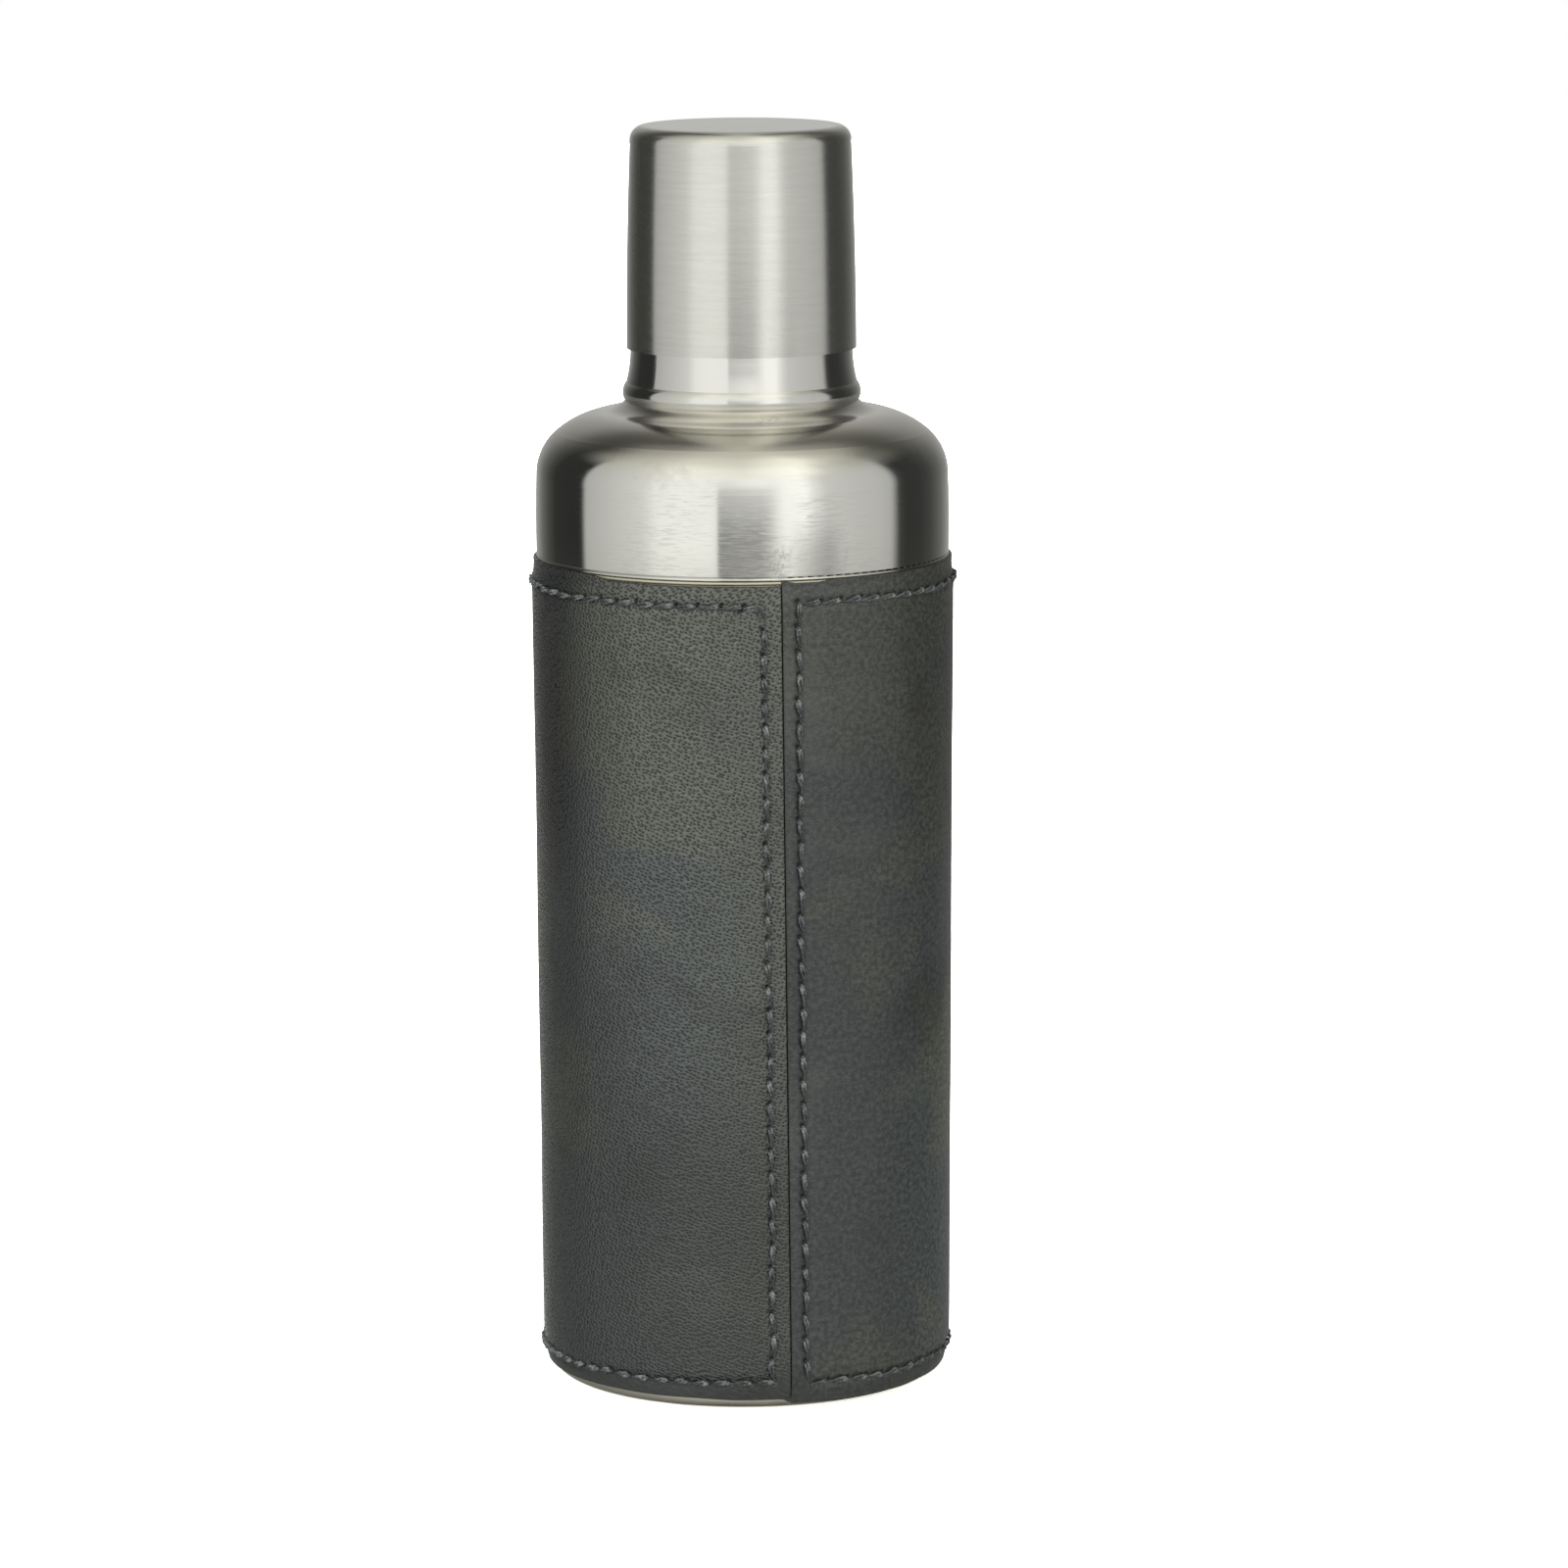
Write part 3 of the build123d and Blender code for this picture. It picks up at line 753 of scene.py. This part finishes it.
class Pattern:
    """The wrap laid flat, from the seam's right side on: x runs round the beaker, y up it."""

    def __init__(self, near):
        self.near = near
        self.width = 2 * math.pi * sleeve_radius(SLEEVE_TOP / 2) - SEAM_GAP
        self.height = SLEEVE_TOP - SLEEVE_BOTTOM
        self.columns = grid_lines(self.width)
        self.levels = grid_lines(self.height)

    def place(self, x, y):
        """Height and distance round the beaker of a spot on the pattern."""
        share = x / self.width
        lower, upper = sleeve_edges(share)
        z = lower + (upper - lower) * y / self.height
        return z, around(share, z)

    def cut(self):
        """The flat mesh, cut finer at the stitches."""
        flat = bmesh.new()
        grid = [[flat.verts.new((x, y, 0)) for y in self.levels] for x in self.columns]
        for left, right in zip(grid[:-1], grid[1:]):
            for row in range(len(self.levels) - 1):
                flat.faces.new((left[row], right[row], right[row + 1], left[row + 1]))
        fine = set()
        for face in flat.faces:
            spots = [self.place(vert.co.x, vert.co.y) for vert in face.verts]
            if min(self.near(along, z)[0] for z, along in spots) < STITCH_BAND:
                fine.update(face.edges)
        bmesh.ops.subdivide_edges(flat, edges=list(fine), cuts=2, use_grid_fill=True)
        flat.verts.index_update()
        return flat

    def lift(self, along, z, from_edge):
        """How far the leather stands off its mean face, and how near it is to a stitch's hole."""
        stitch, hole = self.near(along, z)
        lift = -0.16 * math.exp(-((stitch / 0.8) ** 2)) - 0.42 * math.exp(-((hole / 0.5) ** 2))
        lift += 0.05 * math.exp(-(((stitch - 1.5) / 0.7) ** 2))
        lift += 0.16 * noise.noise(Vector((along * 0.045, z * 0.03, 3.0)))
        lift += 0.03 * noise.noise(Vector((along * 0.30, z * 0.26, 8.0)))
        lift += 0.06 * smooth(2.2, 0.8, from_edge) + 0.2 * smooth(SLEEVE_TOP - 1.5, SLEEVE_TOP + 0.8, z)
        if from_edge < CUT_EDGE:
            inward = 1 - from_edge / CUT_EDGE
            lift -= CUT_EDGE * (1 - math.sqrt(max(0.0, 1 - inward**2)))
        return lift, math.exp(-((hole / 0.60) ** 2))

    def inner_rows(self):
        """Rows of the inner face, on the lining and, past its ends, on the steel: height and radius."""
        on_lining = LINING + LINING_PLAY
        rows = (
            (SLEEVE_BOTTOM, SLEEVE_BOTTOM, STEEL_PLAY),
            (LINING_BOTTOM - LINING_STEP, LINING_BOTTOM, STEEL_PLAY),
            (LINING_BOTTOM + LINING_STEP, LINING_BOTTOM, on_lining),
            (LINING_TOP - LINING_STEP, LINING_TOP, on_lining),
            (LINING_TOP + LINING_STEP, LINING_TOP, STEEL_PLAY),
            (SLEEVE_TOP - EDGE_LINES[-1], SLEEVE_TOP, STEEL_PLAY),
            (SLEEVE_TOP, SLEEVE_TOP, RIM_PLAY),
        )
        return [(z - SLEEVE_BOTTOM, wall_radius(wall) + off) for z, wall, off in rows]


def make_leather(rows):
    """The wrap, from a flat pattern that is bent round the beaker and closed with an inner face."""
    pattern = Pattern(stitch_field(rows))
    flat = pattern.cut()
    by_x = sorted(flat.verts, key=lambda vert: vert.co.x)
    by_y = sorted(flat.verts, key=lambda vert: vert.co.y)
    low_rim = [vert.index for vert in by_x if vert.co.y < ON_EDGE]
    high_rim = [vert.index for vert in by_x if vert.co.y > pattern.height - ON_EDGE]
    right_end = [vert.index for vert in by_y if vert.co.x < ON_EDGE]
    left_end = [vert.index for vert in by_y if vert.co.x > pattern.width - ON_EDGE]
    verts, hide, holes = [], [], []
    for vert in flat.verts:
        x, y, _ = vert.co
        z, along = pattern.place(x, y)
        from_edge = min(x, pattern.width - x, y, pattern.height - y)
        lift, hole = pattern.lift(along, z, from_edge)
        verts.append(leather_point(along, z, lift))
        hide.append((along, z, from_edge))
        holes.append(hole)
    faces = [tuple(vert.index for vert in face.verts) for face in flat.faces]
    smooth_faces = len(faces)
    flat.free()

    first = len(verts)
    inner_rows = pattern.inner_rows()
    for x in pattern.columns:
        for y, radius in inner_rows:
            z, along = pattern.place(x, y)
            verts.append(leather_point(along, z, radius - sleeve_radius(z)))
            hide.append((along, z, 0.0))
            holes.append(0.0)
    deep = len(inner_rows)
    for column in range(len(pattern.columns) - 1):
        a, b = first + column * deep, first + (column + 1) * deep
        for row in range(deep - 1):
            faces.append((a + row + 1, b + row + 1, b + row, a + row))
        faces.append((low_rim[column], a, b, low_rim[column + 1]))
        faces.append((high_rim[column], high_rim[column + 1], b + deep - 1, a + deep - 1))
    last = first + (len(pattern.columns) - 1) * deep
    zip_edges(faces, right_end, list(range(first, first + deep)))
    zip_edges(faces, left_end, list(range(last, last + deep)))

    mesh = bpy.data.meshes.new("leather_wrap")
    mesh.from_pydata(verts, [], faces)
    mesh.attributes.new("hide", "FLOAT_VECTOR", "POINT").data.foreach_set(
        "vector", [value * MM for spot in hide for value in spot])
    mesh.attributes.new("hole", "FLOAT", "POINT").data.foreach_set("value", holes)
    mesh.polygons.foreach_set("use_smooth", [index < smooth_faces for index in range(len(faces))])
    solid = bmesh.new()
    solid.from_mesh(mesh)
    bmesh.ops.recalc_face_normals(solid, faces=solid.faces)
    solid.to_mesh(mesh)
    solid.free()
    mesh.update()
    wrap = show("leather_wrap", mesh)
    mesh.materials.append(leather_look())
    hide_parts("leather_sleeve")
    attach(wrap, "beaker_body")


# Colours of the hide
OLIVE = (0.0585, 0.0650, 0.0560, 1)
SLATE = (0.0415, 0.0500, 0.0530, 1)
PALE = (0.091, 0.103, 0.093, 1)
DARK = (0.008, 0.0088, 0.0092, 1)
# painted shade in the stitch holes
HOLE_SHADE = (0.004, 0.004, 0.0035, 1)
RAW = (0.014, 0.011, 0.006, 1)              # the cut edges
# Painted light on the hide: painted sheen and painted shade as a factor, by metres round from the seam's
# right side: low on the hide, midway up and high up
LOW_PAINTED_LIGHT = [(0.0, 0.88), (0.022, 0.92), (0.032, 1.45), (0.044, 1.9), (0.06, 1.5), (0.12, 1.1),
            (0.18, 1.35), (0.200, 1.2), (0.215, 0.96), (0.252, 0.93)]
MIDDLE_PAINTED_LIGHT = [(0.0, 0.80), (0.022, 0.88), (0.044, 1.35), (0.12, 0.90), (0.19, 0.92), (0.203, 0.94),
               (0.213, 1.45), (0.222, 1.9), (0.238, 1.94), (0.252, 1.74)]
HIGH_PAINTED_LIGHT = [(0.0, 0.85), (0.022, 0.80), (0.045, 0.78), (0.12, 0.68), (0.19, 0.36), (0.200, 0.38),
             (0.213, 1.35), (0.222, 1.98), (0.238, 1.98), (0.252, 1.88)]


def pit_distance(n, flat, along):
    """Distance to the nearest pit of the hide; the pits lie in rows that fall to the right."""
    turned = n.node("ShaderNodeVectorRotate", {"Vector": flat, "Angle": 0.33}, rotation_type="Z_AXIS")
    drift = n.node("ShaderNodeTexNoise", {"Vector": flat, "Scale": 500.0, "Detail": 1.0}).outputs["Color"]
    drift = n.scale(n.vector("SUBTRACT", drift, (0.5, 0.5, 0.5)), 0.0003)
    bent = n.vector("ADD", n.vector("MULTIPLY", turned.outputs[0], (0.86, 1.14, 1.0)), drift)
    size = n.noise(flat, 330.0, 2.0, 0.6)
    away = n.math("MULTIPLY_ADD", n.math("SUBTRACT", 0.5, size), 0.30, n.dots(bent, 1300.0, 0.66))
    # they are larger to the left of the seam
    return n.math("MULTIPLY_ADD", n.step(along, 0.205, 0.236), -0.05, away)


def hide_tone_and_painted_light(n, flat, along, up):
    """The hide's colour before its grain: olive and slate clouds, times a painted sheen and painted shade.
    """
    cloud = n.noise(flat, 24.0, 4.0, 0.6, 0.3)
    lean = n.math("MULTIPLY_ADD", cloud, 1.4, n.step(up, 0.155, 0.070, -0.28, -0.08))
    bluish = n.math("MULTIPLY", n.step(lean, 0.42, 0.58), n.step(along, 0.226, 0.246, 1.0, 0.35))
    colour = n.mix(bluish, OLIVE, SLATE)
    # painted sheen where the studio's light catches the hide and painted shade where it does not, as seen
    # from the camera
    painted_light = n.blend(n.step(up, 0.035, 0.085), n.profile(along, LOW_PAINTED_LIGHT), n.profile(along, MIDDLE_PAINTED_LIGHT))
    painted_light = n.blend(n.step(up, 0.090, 0.120), painted_light, n.profile(along, HIGH_PAINTED_LIGHT))
    return n.scale(colour, painted_light)


def leather_look():
    """Vegetable-tanned hide: grey with olive and slate patches, dark pits and raw dark edges."""
    made, n = material("leather")
    hide = n.node("ShaderNodeAttribute", attribute_name="hide").outputs["Vector"]
    hole = n.node("ShaderNodeAttribute", attribute_name="hole").outputs["Fac"]
    along, up, from_edge = n.split(hide)
    flat = n.join(along, up, 0.0)

    # the pitted end of the hide is left of the seam, the smooth end right of it
    side = n.math("MULTIPLY_ADD", n.noise(flat, 30.0, 2.0, 0.5), 0.04, along)
    border = n.math("MULTIPLY", n.step(from_edge, 0.0030, 0.0022), n.step(up, 0.010, 0.006))
    pitted = n.math("MULTIPLY", n.step(side, 0.06, 0.14), n.step(border, 0.0, 1.0, 1.0, 0.3))
    pit_far = pit_distance(n, flat, along)
    pit = n.math("MULTIPLY", n.step(pit_far, 0.33, 0.15), pitted)
    pore = n.step(n.dots(flat, 1500.0, 1.0), 0.26, 0.10)
    pore = n.math("MULTIPLY", pore, n.step(n.noise(flat, 400.0, 2.0, 0.6), 0.45, 0.62))
    grain = n.noise(flat, 3800.0, 3.0, 0.65)
    fleck = n.step(n.noise(n.vector("ADD", flat, (0.2, 0.6, 0.1)), 2300.0, 2.0, 0.6), 0.62, 0.74)
    mottle = n.noise(n.vector("ADD", flat, (0.5, 0.5, 0.0)), 1000.0, 3.0, 0.65)
    rubbed = n.noise(n.vector("MULTIPLY", flat, (700.0, 2400.0, 1.0)), 1.0, 3.0, 0.6)
    patch = n.noise(n.vector("ADD", flat, (0.3, 0.1, 0.7)), 36.0, 5.0, 0.62, 0.4)

    colour = hide_tone_and_painted_light(n, flat, along, up)
    uneven_tone = n.step(mottle, 0.36, 0.64, 0.58, 1.46)
    colour = n.scale(colour, n.blend(n.math("MULTIPLY", pitted, 0.7), uneven_tone, 1.0))
    colour = n.scale(colour, n.step(rubbed, 0.34, 0.66, 0.82, 1.20))
    raw = n.step(from_edge, 0.00034, 0.00005)
    for share, mark, mark_colour in (
        (0.45, n.step(patch, 0.54, 0.74), PALE),
        (0.42, n.step(patch, 0.48, 0.28), DARK),
        (0.45, fleck, PALE),
        (0.35, n.step(grain, 0.48, 0.36), DARK),
        (0.92, pit, DARK),
        (0.45, pore, DARK),
        (0.35, border, DARK),
        (0.80, raw, RAW),
        # painted shade: black in and round each stitch hole
        (1.00, n.step(hole, 0.25, 0.7), HOLE_SHADE),
    ):
        colour = n.mix(n.math("MULTIPLY", mark, share), colour, mark_colour)

    pillow = n.step(pit_far, 0.10, 0.52)
    height = n.math("MULTIPLY", pillow, n.step(pitted, 0, 1, 0.12, 1.4))
    height = n.math("MULTIPLY_ADD", mottle, 0.9, height)
    height = n.math("MULTIPLY_ADD", pore, -0.25, height)
    height = n.math("MULTIPLY_ADD", grain, 0.22, height)
    rough = n.math("MULTIPLY_ADD", grain, 0.12, n.step(pitted, 0.0, 1.0, 0.36, 0.17))
    rough = n.math("MULTIPLY_ADD", pit, 0.30, rough)
    rough = n.math("MULTIPLY_ADD", hole, 0.4, rough)
    n.surface("ShaderNodeBsdfPrincipled", {
        "Base Color": colour,
        "Roughness": rough,
        "Specular IOR Level": 0.8,
        "Normal": n.bump(height, 0.00009),
    })
    return made


def lining_look():
    """Dark cloth."""
    made, n = material("lining")
    place = n.node("ShaderNodeTexCoord").outputs["Object"]
    weave = n.noise(place, 2600.0, 2.0, 0.5)
    colour = n.mix(weave, (0.018, 0.017, 0.015, 1), (0.035, 0.033, 0.030, 1))
    n.surface("ShaderNodeBsdfPrincipled", {
        "Base Color": colour,
        "Roughness": 0.9,
        "Normal": n.bump(weave, 0.0001, 0.5),
    })
    return made


# ---- Making it all ------------------------------------------------------------------------------

bpy.context.scene.view_settings.view_transform = "Standard"
make_camera()
make_world()
make_floor()
looks = dress_steel()
make_foot_lip(looks["dome"])
rows = stitch_rows()
make_leather(rows)
make_stitches(rows)
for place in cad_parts["sleeve_lining"].material_slots:
    place.material = lining_look()
